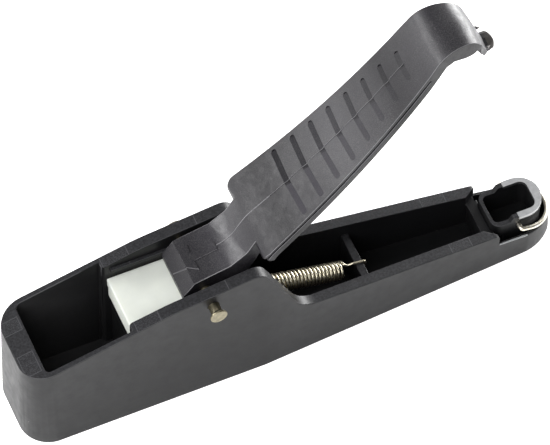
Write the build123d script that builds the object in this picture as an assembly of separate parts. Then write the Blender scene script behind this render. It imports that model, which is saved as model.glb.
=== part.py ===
"""Press-handle wire terminating tool, modelled in millimetres.

Frame: the origin is on the flat base, directly under the handle's pivot. +X runs along the tool
towards the low nose, +Y across it, +Z up. The handle stands open, as its spring holds it at rest.
"""
from build123d import *
from math import cos, pi, radians, sin, tan
import os

# ---------------------------------------------------------------- driving dimensions
REAR_X = -59.6            # outer face of the tall end, at the base
NOSE_X = 115.7            # tip of the low end
HALF_WIDTH = 15.3         # half the width of the tall end, at the base
WALL_DRAFT_DEG = 1.2      # outer walls lean in towards the rim
PIVOT_Z = 43.4            # height of the handle's pivot above the base

# housing, side view
REAR_RIM_Z = 34.8         # rim height at the tall end
SLOPE_END = (-13.0, 46.6)       # where the rising rim levels off
HUMP_CORNER = (16.3, 50.3)      # sharp corner of the hump before rounding
HUMP_FOOT = (28.9, 23.4)        # sharp corner where the drop meets the low rim
SLOPE_RADIUS = 25.0
HUMP_RADIUS = 4.5
FOOT_RADIUS = 9.0
RIM_END_RADIUS = 1.2
LOW_RIM_END = (95.3, 15.5)      # end of the thick low rim
NOSE_RIM_START_Z = 11.0         # thin nose rim, at its start
NOSE_RIM_END_Z = 8.1            # thin nose rim, at the tip

# housing, plan view
REAR_CORNER_RADIUS = 9.5
TAPER_DEG = 3.6                 # taper of each side towards the nose
NOSE_SIDE_RADIUS = 15.0
NOSE_TIP_RADIUS = 7.7
BASE_FILLET = 1.2

# housing, inside
FLOOR = 2.2
BAY = (-52.2, -25.6)            # X range of the work bay
BAY_HALF_WIDTH = 13.1           # at BAY_DRAFT_Z
BAY_CORNER_RADIUS = 2.2
BAY_DRAFT_Z = 52.0
DRAFT_DEG = 1.4
GUIDE_HALF_WIDTH = 10.4
GUIDE_END_RADIUS = 1.4
TROUGH_TAPER_X = 34.0           # where the trough starts to narrow
TROUGH_END_X = 91.7
TROUGH_END_HALF_WIDTH = 6.4
BULKHEAD = (-22.6, -20.4)       # X range of the wall under the pusher block
LEDGE_HALF_GAP = 8.7            # half the gap between the ledges that carry the block
RAIL_HALF_GAP = 9.3             # half the gap between the rails above the block
RAIL_X = (-22.8, 9.0)
RAIL_Z = (40.8, 42.2)
RIB = (51.3, 53.8)              # X range of the spring's anchor rib
RIB_TOP_Z = 15.6
DECK_Z = 12.0
NOSE_WALL = 1.1
MOAT_START_X = 94.6
MOAT_FLOOR_Z = 3.2

# handle
LEVER_HALF_WIDTH = 14.8         # at the shoulder
SHOULDER_X = 16.2
ARM_HALF_WIDTH = 8.25
CHEEK_GAP = 5.0                 # half the gap between the cheeks
SHADOW_GROOVE = (1.5, 2.3)      # depth range of the groove under the plate's edge
SKIRT_DEPTH = 4.7
SKIRT_WALL = 2.2
PLATE_DEPTH = 2.6               # the underside of the handle's plate, inside the skirt
ARROW_RISE = 0.4
BEVEL = ((-3.5, 48.2), (-7.1, 43.6))     # top and foot of the arm's front bevel
RIDGE = 0.6                     # height of the ridge above the handle's top line
ROOF_SLOPE = 0.09               # fall of the top from the ridge to each edge
ROOF_DEPTH = 1.3                # depth of the roofed layer below the top line
GROOVE_FIRST = 15.6             # thumb grooves, measured along the handle
GROOVE_PITCH = 7.6
GROOVE_HALF_LENGTHS = (12.0, 11.4, 10.7, 10.0, 9.0, 7.9, 6.7, 5.2)
GROOVE_WIDTH = 2.0
GROOVE_DEPTH = 0.8

# pins
PIVOT_R = 1.75
RUNNING_GAP = 0.05
PIN_HEAD_R = 2.65
PIN_HEAD = 1.4                  # height of the pin's head
PIN_GROOVE = 0.35               # depth of the groove for the retainer
RETAINER_R = 3.6
PIN_HEAD_FACE_Y = -18.6
DRIVE_PIN_R = 1.5
DRIVE_DROP = 10.4               # drive pin below the pivot
SPRING_BAR = (5.0, 26.0)
SPRING_BAR_R = 1.2

# pusher block
BLOCK = (-24.0, -5.2)           # X range of the block's head
BLOCK_HALF_WIDTH = 9.9
BLOCK_TOP_Z = 37.7
BLOCK_BOTTOM_Z = 30.2
TAIL_HALF_WIDTH = 4.5
TAIL_BOTTOM_Z = 31.0
TAIL_END_X = 4.6
SLOT_GAP = 0.5                  # play of the drive pin in the tail's slot

# spring
COIL_R = 3.1                    # outside radius
SPRING_WIRE_R = 0.42
COIL_WALL = 0.94
COIL_START = (13.0, 23.8)       # end of the coil near the handle
COIL_END = (47.1, 13.7)         # end of the coil near the rib
SPRING_Y = -1.0

# nose fittings
CUP = (94.8, 112.6)             # X range of the socket
CUP_HALF_WIDTH = 6.7
CUP_LOW_Z = 15.2
STEP_X = (100.3, 103.1)         # X range of the ramps on the socket's rim
STEP_RUN = 1.1                  # run of each ramp's slope
STRIKER_Z = (15.8, 16.9)
STRIKER_HALF_WIDTH = 6.9
HOLE = (95.9, 110.0)
HOLE_HALF_WIDTH = 5.1
HOLE_RADIUS = 1.8
HOLE_NOSE_RADIUS = 2.4
DECK_REACH = (98.0, 6.9)        # how far along and across the deck closes round the socket
SOCKET_GAP = 0.05
BAIL_PIVOT = (103.1, 12.8)
BAIL_WIRE_R = 0.7
BAIL_HALF_WIDTH = 8.6
BAIL_LEG = 3.2                  # straight length of each leg
BAIL_END_Y = 5.7                # where the inturned ends stop
BAIL_BEND_R = 0.9
BAIL_DROOP_DEG = 12.4           # the bail's tilt below level, resting on the nose rim
EYE_R = 0.78
CLOSED_DEG = 47.5               # handle's turn from rest to latched
LATCHED_DEG = 64.5              # bail's turn from rest to latched
LATCH_GAP = 0.3                 # play of the bail in the lip's channel
LIP_ROOT = (90.1, 111.7)        # where the lip meets the end of the handle
LIP_HEADING = -64.0
LIP_HALF_WIDTH = 4.3
LIP_RUN = 4.9                   # reach of the lip beyond the end of the top line
LIP_RIM = 0.95                  # thickness of the lip's raised rim
LIP_DOME_R = 5.1                # the rim falls to each side along a round of this radius
LIP_DOME_RISE = 2.4
# where the skirt is cut short under the hook, measured from the lip's root
SKIRT_END = ((-7.6, -5.2), (-6.5, -2.7), (-6.7, -1.65), (8.0, -1.65), (8.0, -9.0), (-7.6, -9.0))
# the deeper skirt under the hook, in side view
HOOK_SKIRT = (
    (71.0, 112.8), (75.3, 116.8), (78.0, 117.7), (81.4, 116.5), (84.8, 116.4), (85.8, 117.1), (85.6, 119.5),
    (82.6, 122.2), (77.5, 123.0), (73.6, 121.2), (69.6, 115.0),
)
# the lip's side view and the hollow in it, measured the same way
LIP_SIDE = (
    (-1.9, -0.6), (-0.1, -0.6), (0.8, 0.6), (2.4, 2.0), (3.8, 2.6), (4.7, 2.0), (4.9, -0.4), (3.6, -1.9),
    (0.9, -2.4), (-1.9, -2.4),
)
LIP_INSIDE = ((-0.05, 5.0), (0.1, -1.5), (3.0, -1.2), (3.9, 0.3), (4.2, 5.0))

BIG = 200.0


# ---------------------------------------------------------------- helpers
def prism_y(points, y_low, y_high, radii=None):
    """A side-view outline (X, Z) made solid from y_low to y_high. radii rounds numbered corners."""
    with BuildSketch(Plane.XZ) as sketch:
        with BuildLine():
            Polyline(*points, close=True)
        make_face()
        for (x, z), radius in (radii or {}).items():
            corner = sketch.vertices().sort_by_distance(Vector(x, z, 0))[0]
            fillet(corner, radius)
    solid = extrude(sketch.sketch, amount=y_high - y_low)
    return Pos(0, y_high, 0) * solid


def box(x, y, z):
    """A box from three (low, high) ranges."""
    size = [high - low for low, high in (x, y, z)]
    middle = [(high + low) / 2 for low, high in (x, y, z)]
    return Pos(*middle) * Box(*size)


def cylinder_y(x, z, radius, y_low, y_high):
    """A round bar along Y."""
    bar = Cylinder(radius, y_high - y_low)
    return Pos(x, (y_low + y_high) / 2, z) * Rot(90, 0, 0) * bar


def mirrored(half_points):
    """A closed outline from its +Y half, listed from one end of the centre line to the other."""
    return list(half_points) + [(x, -y) for x, y in reversed(half_points)]


def save(shape, name):
    shape.label = name
    export_step(shape, f"parts/{name}.step")
    return shape


# ---------------------------------------------------------------- housing
def plan_sketch(inset=0.0):
    """The housing's plan outline, moved inwards by inset."""
    turn = radians(TAPER_DEG)
    side_r = NOSE_SIDE_RADIUS - inset
    tip_r = NOSE_TIP_RADIUS - inset
    side_drop = side_r * (cos(turn) - cos(pi / 4))
    tip_drop = tip_r * cos(pi / 4)
    side_run = side_r * (sin(pi / 4) - sin(turn))
    tip_run = tip_r * (1 - sin(pi / 4))
    nose = NOSE_X - inset
    shoulder = (nose - tip_run - side_run, side_drop + tip_drop)
    half_width = HALF_WIDTH - inset
    taper_start = (shoulder[0] - (half_width - shoulder[1]) / tan(turn), half_width)
    rear = REAR_X + inset
    corner = max(REAR_CORNER_RADIUS - inset, 1.0)
    with BuildSketch() as sketch:
        with BuildLine():
            start = Line((rear, 0), (rear, half_width - corner))
            round_corner = JernArc(start @ 1, (0, 1), corner, -90)
            side = Line(round_corner @ 1, taper_start)
            taper = Line(side @ 1, shoulder)
            flank = JernArc(taper @ 1, taper % 1, side_r, -(45 - TAPER_DEG))
            tip = JernArc(flank @ 1, flank % 1, tip_r, -45)
            Line(tip @ 1, (rear, 0))
        make_face()
        mirror(about=Plane.XZ)
    return sketch.sketch


def drafted_block(inset):
    """The plan outline made solid, leaning in towards the top."""
    height = 60.0
    lean = height * tan(radians(WALL_DRAFT_DEG))
    return loft([plan_sketch(inset), Pos(0, 0, height) * plan_sketch(inset + lean)])


def rim_outline():
    """Side view of the housing, from the base up to the rim."""
    return [
        (REAR_X - 1, 0), (REAR_X - 1, REAR_RIM_Z), (REAR_X, REAR_RIM_Z), SLOPE_END, HUMP_CORNER, HUMP_FOOT,
        LOW_RIM_END, (LOW_RIM_END[0], NOSE_RIM_START_Z), (NOSE_X + 1, NOSE_RIM_END_Z), (NOSE_X + 1, 0),
    ]


def housing_shell():
    """The outside of the housing, solid."""
    blank = drafted_block(0.0)
    edges = blank.edges().group_by(Axis.Z)[0]
    blank = fillet(edges, BASE_FILLET)
    rounding = {SLOPE_END: SLOPE_RADIUS, HUMP_CORNER: HUMP_RADIUS, HUMP_FOOT: FOOT_RADIUS}
    rounding[LOW_RIM_END] = RIM_END_RADIUS
    return blank & prism_y(rim_outline(), -BIG, BIG, rounding)


def bay_space():
    """The open work bay, narrower at its floor."""
    middle = (BAY[0] + BAY[1]) / 2
    with BuildSketch(Plane.XY.offset(BAY_DRAFT_Z)) as sketch:
        with Locations((middle, 0)):
            Rectangle(BAY[1] - BAY[0] + 1.0, 2 * BAY_HALF_WIDTH)
        rear = sketch.vertices().group_by(Axis.X)[0]
        fillet(rear, BAY_CORNER_RADIUS)
    return extrude(sketch.sketch, amount=-(BAY_DRAFT_Z - FLOOR), taper=DRAFT_DEG)


def trough_space():
    """The long space from the guide to the deck at the nose."""
    entry, radius, wide = BAY[1], GUIDE_END_RADIUS, GUIDE_HALF_WIDTH
    with BuildSketch(Plane.XY.offset(FLOOR)) as sketch:
        with BuildLine():
            Polyline((entry - 2, 0), (entry - 2, wide + radius), (entry, wide + radius))
            ThreePointArc((entry, wide + radius), (entry + 0.293 * radius, wide + 0.293 * radius),
                          (entry + radius, wide))
            Polyline((entry + radius, wide), (TROUGH_TAPER_X, wide), (TROUGH_END_X, TROUGH_END_HALF_WIDTH),
                     (TROUGH_END_X, 0), (entry - 2, 0))
        make_face()
        mirror(about=Plane.XZ)
    return extrude(sketch.sketch, amount=60)


def nose_space():
    """The low moat around the socket, and the notch that ends the thick rim."""
    moat = drafted_block(NOSE_WALL) & box((MOAT_START_X, 130), (-20, 20), (MOAT_FLOOR_Z, 60))
    end_x = LOW_RIM_END[0]
    inner = TROUGH_END_HALF_WIDTH
    with BuildSketch(Plane.XY.offset(DECK_Z)) as sketch:
        with BuildLine():
            Polyline(*mirrored([(TROUGH_END_X - 0.5, inner), (end_x, inner + 2.8), (end_x + 3, inner + 2.8)]),
                     close=True)
        make_face()
    return moat + extrude(sketch.sketch, amount=30)


def housing_inner_walls():
    """Bulkhead, ledges, rails and anchor rib, all moulded with the housing."""
    reach = GUIDE_HALF_WIDTH + 0.4
    ledge_top = BLOCK_BOTTOM_Z - 0.15
    walls = box(BULKHEAD, (-reach, reach), (FLOOR - 0.5, ledge_top))
    deck_x, deck_half = DECK_REACH
    deck = box((TROUGH_END_X, deck_x), (-deck_half, deck_half), (FLOOR, DECK_Z))
    walls += deck - socket_outline(SOCKET_GAP, 0, DECK_Z)
    walls += box(RIB, (-reach, reach), (FLOOR - 0.5, RIB_TOP_Z))
    for side in (-1, 1):
        across = sorted((side * LEDGE_HALF_GAP, side * reach))
        walls += box((BULKHEAD[0], 14.0), across, (ledge_top - 2.0, ledge_top))
        across = sorted((side * RAIL_HALF_GAP, side * reach))
        walls += box(RAIL_X, across, RAIL_Z)
    return walls


def socket_outline(gap, z_low, z_high):
    """The socket's outside, grown by gap, as a solid."""
    low, high = CUP
    width = CUP_HALF_WIDTH + gap
    return between(rounded_outline(low - gap, high + gap, width, width - 0.1, 3.0), z_low, z_high)


def make_housing():
    shell = housing_shell()
    body = shell - bay_space() - trough_space() - nose_space()
    body += housing_inner_walls() & shell
    body -= cylinder_y(0, PIVOT_Z, PIVOT_R + RUNNING_GAP, -BIG, BIG)
    return body


# ---------------------------------------------------------------- handle
# Each step of the handle's top line, from the arm to the tip: a straight length, or an arc's
# radius and the heading that it ends at.
HANDLE_START = (-3.5, 48.7)
HANDLE_START_HEADING = 11.8
GRIP_STEP = 4                   # the long gentle arc that carries the thumb grip
HANDLE_STEPS = [
    ("line", 10.7, None), ("arc", 10.0, 60.0), ("line", 3.4, None), ("arc", 14.0, 38.5),
    ("arc", 258.0, 55.8), ("arc", 9.6, -11.0), ("arc", 8.1, -70.0), ("line", 7.2, None),
]


def handle_line(depth=0.0, first=0, last=len(HANDLE_STEPS)):
    """The handle's top line moved down by depth, as edges, with the point and heading at its end."""
    x, z = HANDLE_START
    heading = HANDLE_START_HEADING
    x += depth * sin(radians(heading))
    z -= depth * cos(radians(heading))
    edges = []
    for number, (kind, size, end_heading) in enumerate(HANDLE_STEPS):
        along = (cos(radians(heading)), sin(radians(heading)))
        if kind == "line":
            nxt = (x + size * along[0], z + size * along[1])
            edge = Line((x, 0, z), (nxt[0], 0, nxt[1]))
        else:
            turn = end_heading - heading
            side = 1 if turn > 0 else -1
            radius = size + side * depth
            centre = (x - side * radius * along[1], z + side * radius * along[0])
            spots = []
            for share in (0.5, 1.0):
                angle = radians(heading + share * turn)
                spots.append((centre[0] + side * radius * sin(angle), centre[1] - side * radius * cos(angle)))
            edge = ThreePointArc((x, 0, z), (spots[0][0], 0, spots[0][1]), (spots[1][0], 0, spots[1][1]))
            nxt = spots[1]
            heading = end_heading
        if first <= number < last:
            edges.append(edge)
        x, z = nxt
    return edges, (x, z), heading


def handle_layer(top, bottom, first=3, last=len(HANDLE_STEPS)):
    """A slab between two depths below the handle's top line, wide enough to be trimmed in plan."""
    upper = handle_line(top, first, last)[0]
    lower = handle_line(bottom, first, last)[0]
    ends = [Line(upper[0] @ 0, lower[0] @ 0), Line(upper[-1] @ 1, lower[-1] @ 1)]
    face = make_face(Wire(upper + lower + ends))
    return extrude(face, amount=20, dir=(0, 1, 0), both=True)


def handle_plan(inset=0.0, start_inset=0.0):
    """The handle's plan outline, moved inwards, as a tall solid."""
    shoulder_x = SHOULDER_X + start_inset
    half = [(shoulder_x, LEVER_HALF_WIDTH - inset), (70.0, 10.0 - inset), (86.8, 7.3 - inset),
            (89.6, 5.6 - inset), (92.5, 4.6 - inset)]
    with BuildSketch() as sketch:
        with BuildLine():
            Polyline(*mirrored(half), close=True)
        make_face()
        if inset == 0.0:
            fillet(sketch.vertices().group_by(Axis.X)[0], 1.8)
            fillet(sketch.vertices().group_by(Axis.X)[-3], 2.0)
    return extrude(sketch.sketch, amount=140)


def crown_solid(lift=0.0):
    """The ridged top of the handle and arm: a shallow roof swept along the top line."""
    path = Wire(handle_line()[0])
    start = Plane(origin=path @ 0, x_dir=(0, 1, 0), z_dir=path % 0)
    half, ridge = 16.0, RIDGE + lift
    edge = ridge - ROOF_SLOPE * half
    with BuildSketch(start) as section:
        with BuildLine():
            Polyline((-half, -ROOF_DEPTH), (half, -ROOF_DEPTH), (half, edge), (0, ridge), (-half, edge),
                     close=True)
        make_face()
    return sweep(section.sketch, path=path)


def arm_outline():
    """Side view of the arm: nose bevel, lobe under the pivot, and the web up to the shoulder."""
    return [
        *BEVEL, (-6.7, 40.2), (-3.2, 36.2), (-3.2, 30.6), (-1.5, 28.4), (1.0, 26.6), (2.6, 24.4), (4.0, 22.8),
        (6.4, 22.8), (8.2, 26.0), (8.2, 36.0), (13.0, 44.4), (18.6, 54.6), (23.0, 60.2), (21.8, 62.2),
        (14.6, 55.8), (7.0, 50.3),
    ]


def lip_point(run, rise):
    """A side-view point measured from the lip's root: along the lip, and outwards from it."""
    heading = radians(LIP_HEADING)
    x, z = LIP_ROOT
    return (x + run * cos(heading) - rise * sin(heading), z + run * sin(heading) + rise * cos(heading))


def lip_tongue(inset):
    """The lip's round-ended outline as a block, seen from the side that it turns out to."""
    heading = radians(LIP_HEADING)
    outward = (-sin(heading), 0, cos(heading))
    x, z = lip_point(0, -6)
    half, root = LIP_HALF_WIDTH - inset, 10.0
    with BuildSketch(Plane(origin=(x, 0, z), x_dir=(0, 1, 0), z_dir=outward)) as tongue:
        with Locations((0, root / 2 - LIP_RUN + inset)):
            Rectangle(2 * half, root)
        fillet(tongue.vertices().group_by(Axis.Z)[0], half - 0.2)
    return extrude(tongue.sketch, amount=12)


def tip_lip():
    """The out-turned lip at the handle's end: a scoop with a raised rim, and the bail's channel."""
    side = [lip_point(*spot) for spot in LIP_SIDE]
    inside = [lip_point(*spot) for spot in LIP_INSIDE]
    x, z = lip_point(0, LIP_DOME_RISE - LIP_DOME_R)
    heading = radians(LIP_HEADING)
    dome = Plane(origin=(x, 0, z), z_dir=(cos(heading), 0, sin(heading))) * Cylinder(LIP_DOME_R, BIG / 4)
    block = prism_y(side, -LIP_HALF_WIDTH, LIP_HALF_WIDTH) & lip_tongue(0.0) & dome
    return block - (prism_y(inside, -BIG / 2, BIG / 2) & lip_tongue(LIP_RIM))


def bail_path_cut():
    """Room for the latched bail's loop around the lip, in the open handle's place."""
    reach = radians(LATCHED_DEG - BAIL_DROOP_DEG)
    x = BAIL_PIVOT[0] + BAIL_LEG * cos(reach)
    z = BAIL_PIVOT[1] + BAIL_LEG * sin(reach) - PIVOT_Z
    turn = radians(CLOSED_DEG)
    centre = (x * cos(turn) - z * sin(turn), 0, x * sin(turn) + z * cos(turn) + PIVOT_Z)
    outward = (sin(reach + turn), 0, -cos(reach + turn))
    room = BAIL_WIRE_R + LATCH_GAP
    with BuildSketch(Plane(origin=centre, x_dir=(0, 1, 0), z_dir=outward)) as ring:
        Circle(BAIL_HALF_WIDTH + room)
        Circle(BAIL_HALF_WIDTH - room, mode=Mode.SUBTRACT)
    return extrude(ring.sketch, amount=8) + extrude(ring.sketch, amount=-room)


def raised_arrow():
    """The moulded arrow on the arm and its bevel, pointing at the pusher block."""
    half = [(-6.9, 0.0), (-0.5, 4.6), (-0.8, 1.45), (6.65, 1.45)]
    with BuildSketch(Plane.XY.offset(40)) as sketch:
        with BuildLine():
            Polyline(*mirrored(half)[:-1], close=True)
        make_face()
    top, foot = BEVEL
    outside = [(top[0], top[1] + 0.9), (foot[0] - 0.3, foot[1] + 0.3)]
    skin = prism_y([*outside, foot, (top[0] + 0.6, top[1] - 0.2)], -7, 7)
    return extrude(sketch.sketch, amount=14) & (crown_solid(ARROW_RISE) + skin)


def thumb_grooves():
    """Thumb grip: grooves across the handle, each with a sloped floor and an upright wall."""
    grooves = []
    radius = HANDLE_STEPS[GRIP_STEP][1]
    (x, z), heading = handle_point(GRIP_STEP)
    heading = radians(heading)
    for number, half_length in enumerate(GROOVE_HALF_LENGTHS):
        angle = heading + (GROOVE_FIRST + number * GROOVE_PITCH) / radius
        px = x + radius * (sin(angle) - sin(heading))
        pz = z - radius * (cos(angle) - cos(heading))
        along = (cos(angle), 0, sin(angle))
        place = Plane(origin=(px, 0, pz), x_dir=along, z_dir=(-sin(angle), 0, cos(angle)))
        with BuildSketch(place) as slot:
            with Locations((-GROOVE_WIDTH / 2, 0)):
                SlotOverall(2 * half_length, GROOVE_WIDTH, rotation=90)
        back = -2 * GROOVE_WIDTH
        floor = [(0, RIDGE - GROOVE_DEPTH), (0, 4), (back, 4), (back, RIDGE + GROOVE_DEPTH)]
        with BuildSketch(Plane(origin=(px, 0, pz), x_dir=along, z_dir=(0, -1, 0))) as wedge:
            with BuildLine():
                Polyline(*floor, close=True)
            make_face()
        slot_block = extrude(slot.sketch, amount=3, both=True)
        for side in (-1, 1):
            fall = Vector(0, side, 0) - ROOF_SLOPE * place.z_dir
            grooves.append(slot_block & extrude(wedge.sketch, amount=20, dir=fall))
    return grooves


def handle_point(step):
    """The point and heading where a numbered step of the top line starts."""
    x, z = HANDLE_START
    heading = HANDLE_START_HEADING
    for kind, size, end_heading in HANDLE_STEPS[:step]:
        along = (cos(radians(heading)), sin(radians(heading)))
        if kind == "line":
            x += size * along[0]
            z += size * along[1]
        else:
            side = 1 if end_heading > heading else -1
            centre = (x - side * size * along[1], z + side * size * along[0])
            angle = radians(end_heading)
            x = centre[0] + side * size * sin(angle)
            z = centre[1] - side * size * cos(angle)
            heading = end_heading
    return (x, z), heading


def make_lever():
    plan = handle_plan()
    arm_band = box((-30, 24), (-ARM_HALF_WIDTH, ARM_HALF_WIDTH), (0, 140))
    plate = handle_layer(1.0, SKIRT_DEPTH) & plan
    plate -= prism_y([lip_point(*spot) for spot in SKIRT_END], -BIG / 2, BIG / 2)
    groove = handle_layer(*SHADOW_GROOVE, last=GRIP_STEP + 1) - handle_plan(0.9, -5)
    hollow = handle_layer(PLATE_DEPTH, SKIRT_DEPTH + 2) & handle_plan(SKIRT_WALL, 6)
    hook_skirt = (prism_y(HOOK_SKIRT, -BIG / 2, BIG / 2) & plan) - handle_plan(SKIRT_WALL, 6)
    crown = crown_solid() & (plan + arm_band)
    arm_top = handle_layer(1.0, 3.0, first=0) & arm_band
    arm = prism_y(arm_outline(), -ARM_HALF_WIDTH, ARM_HALF_WIDTH)
    lip = tip_lip() - bail_path_cut()
    body = plate - groove - hollow + hook_skirt + arm_top + arm + crown + lip
    body -= box((-3.2, 14.0), (-CHEEK_GAP, CHEEK_GAP), (0, 45.6))
    body -= box((-9.0, 14.0), (-CHEEK_GAP, CHEEK_GAP), (0, 39.4))
    for groove_cut in thumb_grooves():
        body -= groove_cut
    body += raised_arrow()
    body -= cylinder_y(0, PIVOT_Z, PIVOT_R + RUNNING_GAP, -20, 20)
    body -= cylinder_y(0, PIVOT_Z - DRIVE_DROP, DRIVE_PIN_R, -20, 20)
    body -= cylinder_y(*SPRING_BAR, SPRING_BAR_R, -20, 20)
    return body


# ---------------------------------------------------------------- pins and small steel parts
def wall_y(z):
    """Half-width of the tall end at height z."""
    return HALF_WIDTH - z * tan(radians(WALL_DRAFT_DEG))


def make_pivot_pin():
    """Headed steel pin. The far end has a groove for the push-on retainer."""
    face = wall_y(PIVOT_Z - RETAINER_R)
    far_y = face + 1.9
    pin = cylinder_y(0, PIVOT_Z, PIVOT_R, PIN_HEAD_FACE_Y + PIN_HEAD, far_y)
    head = Cylinder(PIN_HEAD_R, PIN_HEAD)
    head = chamfer(head.edges().group_by(Axis.Z)[0], 0.8)
    head = fillet(head.edges().group_by(Axis.Z)[-1], 0.25)
    pin += Pos(0, PIN_HEAD_FACE_Y + PIN_HEAD / 2, PIVOT_Z) * Rot(90, 0, 0) * head
    ring = cylinder_y(0, PIVOT_Z, PIVOT_R + 1, face + 0.15, face + 0.75)
    pin -= ring - cylinder_y(0, PIVOT_Z, PIVOT_R - PIN_GROOVE, 0, 30)
    end = pin.edges().group_by(Axis.Y)[-1]
    return chamfer(end, 0.3)


def make_pivot_retainer():
    """Push-on ring, open at one side, that sits in the pin's groove."""
    low = wall_y(PIVOT_Z - RETAINER_R) + 0.2
    high = low + 0.5
    bore = cylinder_y(0, PIVOT_Z, PIVOT_R - PIN_GROOVE, low - 1, high + 1)
    ring = cylinder_y(0, PIVOT_Z, RETAINER_R, low, high) - bore
    for turn in (30, 150, 270):
        notch = Pos(0, 0, PIVOT_Z) * Rot(0, turn, 0) * box((1.2, 2.9), (low - 1, high + 1), (-0.55, 0.55))
        ring -= notch
    return ring


def make_drive_pin():
    pin = cylinder_y(0, PIVOT_Z - DRIVE_DROP, DRIVE_PIN_R, -ARM_HALF_WIDTH, ARM_HALF_WIDTH)
    return chamfer(pin.edges().filter_by(GeomType.CIRCLE), 0.3)


def make_spring_bar():
    x, z = SPRING_BAR
    bar = cylinder_y(x, z, SPRING_BAR_R, -ARM_HALF_WIDTH, ARM_HALF_WIDTH)
    groove = cylinder_y(x, z, SPRING_BAR_R + 1, SPRING_Y - 0.6, SPRING_Y + 0.6)
    bar -= groove - cylinder_y(x, z, SPRING_BAR_R - 0.25, -20, 20)
    return bar


# ---------------------------------------------------------------- pusher block
def make_pusher_block():
    """Nylon block: wide head in the guide, narrow forked tail that the drive pin pushes."""
    head = box(BLOCK, (-BLOCK_HALF_WIDTH, BLOCK_HALF_WIDTH), (BLOCK_BOTTOM_Z, BLOCK_TOP_Z))
    waist = BLOCK_HALF_WIDTH - 0.75
    for side in (-1, 1):
        across = sorted((side * waist, side * 20))
        head -= box((BLOCK[0] - 1, BLOCK[1] + 1), across, (BLOCK_BOTTOM_Z - 1, BLOCK_TOP_Z - 3.4))
    head = fillet(head.edges().filter_by(Axis.Y).group_by(Axis.Z)[-1], 0.5)
    tail_half = TAIL_HALF_WIDTH
    tail = box((BLOCK[1] - 1, TAIL_END_X), (-tail_half, tail_half), (TAIL_BOTTOM_Z, BLOCK_TOP_Z - 0.9))
    slot = DRIVE_PIN_R + SLOT_GAP
    tail -= box((-slot, slot), (-20, 20), (PIVOT_Z - DRIVE_DROP - slot + 0.3, 60))
    return head + tail


# ---------------------------------------------------------------- spring
def make_return_spring():
    """Extension spring: a hollow coil body, and a straight hook wire at each end."""
    start = Vector(COIL_START[0], SPRING_Y, COIL_START[1])
    end = Vector(COIL_END[0], SPRING_Y, COIL_END[1])
    along = (end - start).normalized()
    plane = Plane(origin=start, x_dir=(0, 1, 0), z_dir=along)
    with BuildSketch(plane) as ring:
        Circle(COIL_R)
        Circle(COIL_R - COIL_WALL, mode=Mode.SUBTRACT)
    coil = extrude(ring.sketch, amount=(end - start).length)
    wire = SPRING_WIRE_R
    middle_r = COIL_R - COIL_WALL / 2
    up = Vector(-along.Z, 0, along.X)
    coil_top = end + up * middle_r
    over_rib = (RIB[1] + wire + 0.1, RIB_TOP_Z + wire + 0.05)
    hook = [coil_top - along * 1.2, coil_top, Vector(RIB[0] - 0.8, SPRING_Y, over_rib[1]),
            Vector(over_rib[0], SPRING_Y, over_rib[1]), Vector(over_rib[0], SPRING_Y, RIB_TOP_Z - 2.2)]
    bar_x, bar_z = SPRING_BAR
    loop_r = SPRING_BAR_R - 0.25 + wire + 0.05
    coil_low = start - up * middle_r
    lead = [coil_low + along * 1.2, coil_low, Vector(bar_x, SPRING_Y, bar_z - loop_r)]
    parts = [coil]
    for points, corners in ((hook, [0.9, 0.9, 0.7]), (lead, [1.5])):
        path = FilletPolyline(*points, radius=corners)
        parts.append(sweep_round(path, wire))
    ring = Torus(loop_r, wire)
    parts.append(Pos(bar_x, SPRING_Y, bar_z) * Rot(90, 0, 0) * ring)
    spring = parts[0]
    for piece in parts[1:]:
        spring += piece
    return spring


def sweep_round(path, radius):
    """A round wire along a path of lines and arcs."""
    section = Plane(origin=path @ 0, z_dir=path % 0) * Circle(radius)
    return sweep(section, path=path)


# ---------------------------------------------------------------- nose fittings
def rounded_outline(x_low, x_high, half_width, nose_radius, back_radius):
    """A plan outline with its own corner radii at the nose side and at the back."""
    with BuildSketch() as sketch:
        with Locations(((x_low + x_high) / 2, 0)):
            Rectangle(x_high - x_low, 2 * half_width)
        fillet(sketch.vertices().group_by(Axis.X)[-1], nose_radius)
        fillet(sketch.vertices().group_by(Axis.X)[0], back_radius)
    return sketch.sketch


def between(sketch, z_low, z_high):
    return extrude(Pos(0, 0, z_low) * sketch, amount=z_high - z_low)


def make_nose_socket():
    """Rounded-square socket that stands in the nose. Its rim steps up beside the striker plate."""
    hole = rounded_outline(*HOLE, HOLE_HALF_WIDTH, HOLE_NOSE_RADIUS, HOLE_RADIUS)
    cup = socket_outline(0.0, MOAT_FLOOR_Z + 0.02, STRIKER_Z[1])
    cup -= box((STEP_X[1], 130), (-20, 20), (STRIKER_Z[0], 40))
    low, top = CUP_LOW_Z, STRIKER_Z[1]
    ramp_x = STEP_X[0] + STEP_RUN
    cup -= prism_y([(80, low), (STEP_X[0], low), (ramp_x, top), (ramp_x, 40), (80, 40)], -20, 20)
    cup -= between(hole, MOAT_FLOOR_Z + 2.0, 40)
    for side in (-1, 1):
        eye = cylinder_y(*BAIL_PIVOT, EYE_R, *sorted((side * (BAIL_END_Y - 0.3), side * 12)))
        cup -= eye
    return cup


def make_striker_plate():
    """U-shaped steel plate on the socket's rim."""
    nose_radius = STRIKER_HALF_WIDTH - 0.1
    plate = rounded_outline(STEP_X[1] + 0.03, CUP[1] + 0.3, STRIKER_HALF_WIDTH, nose_radius, 0.15)
    hole = rounded_outline(*HOLE, HOLE_HALF_WIDTH - 0.15, HOLE_NOSE_RADIUS, 0.2)
    return between(plate, *STRIKER_Z) - between(hole, 0, 40)


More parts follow.
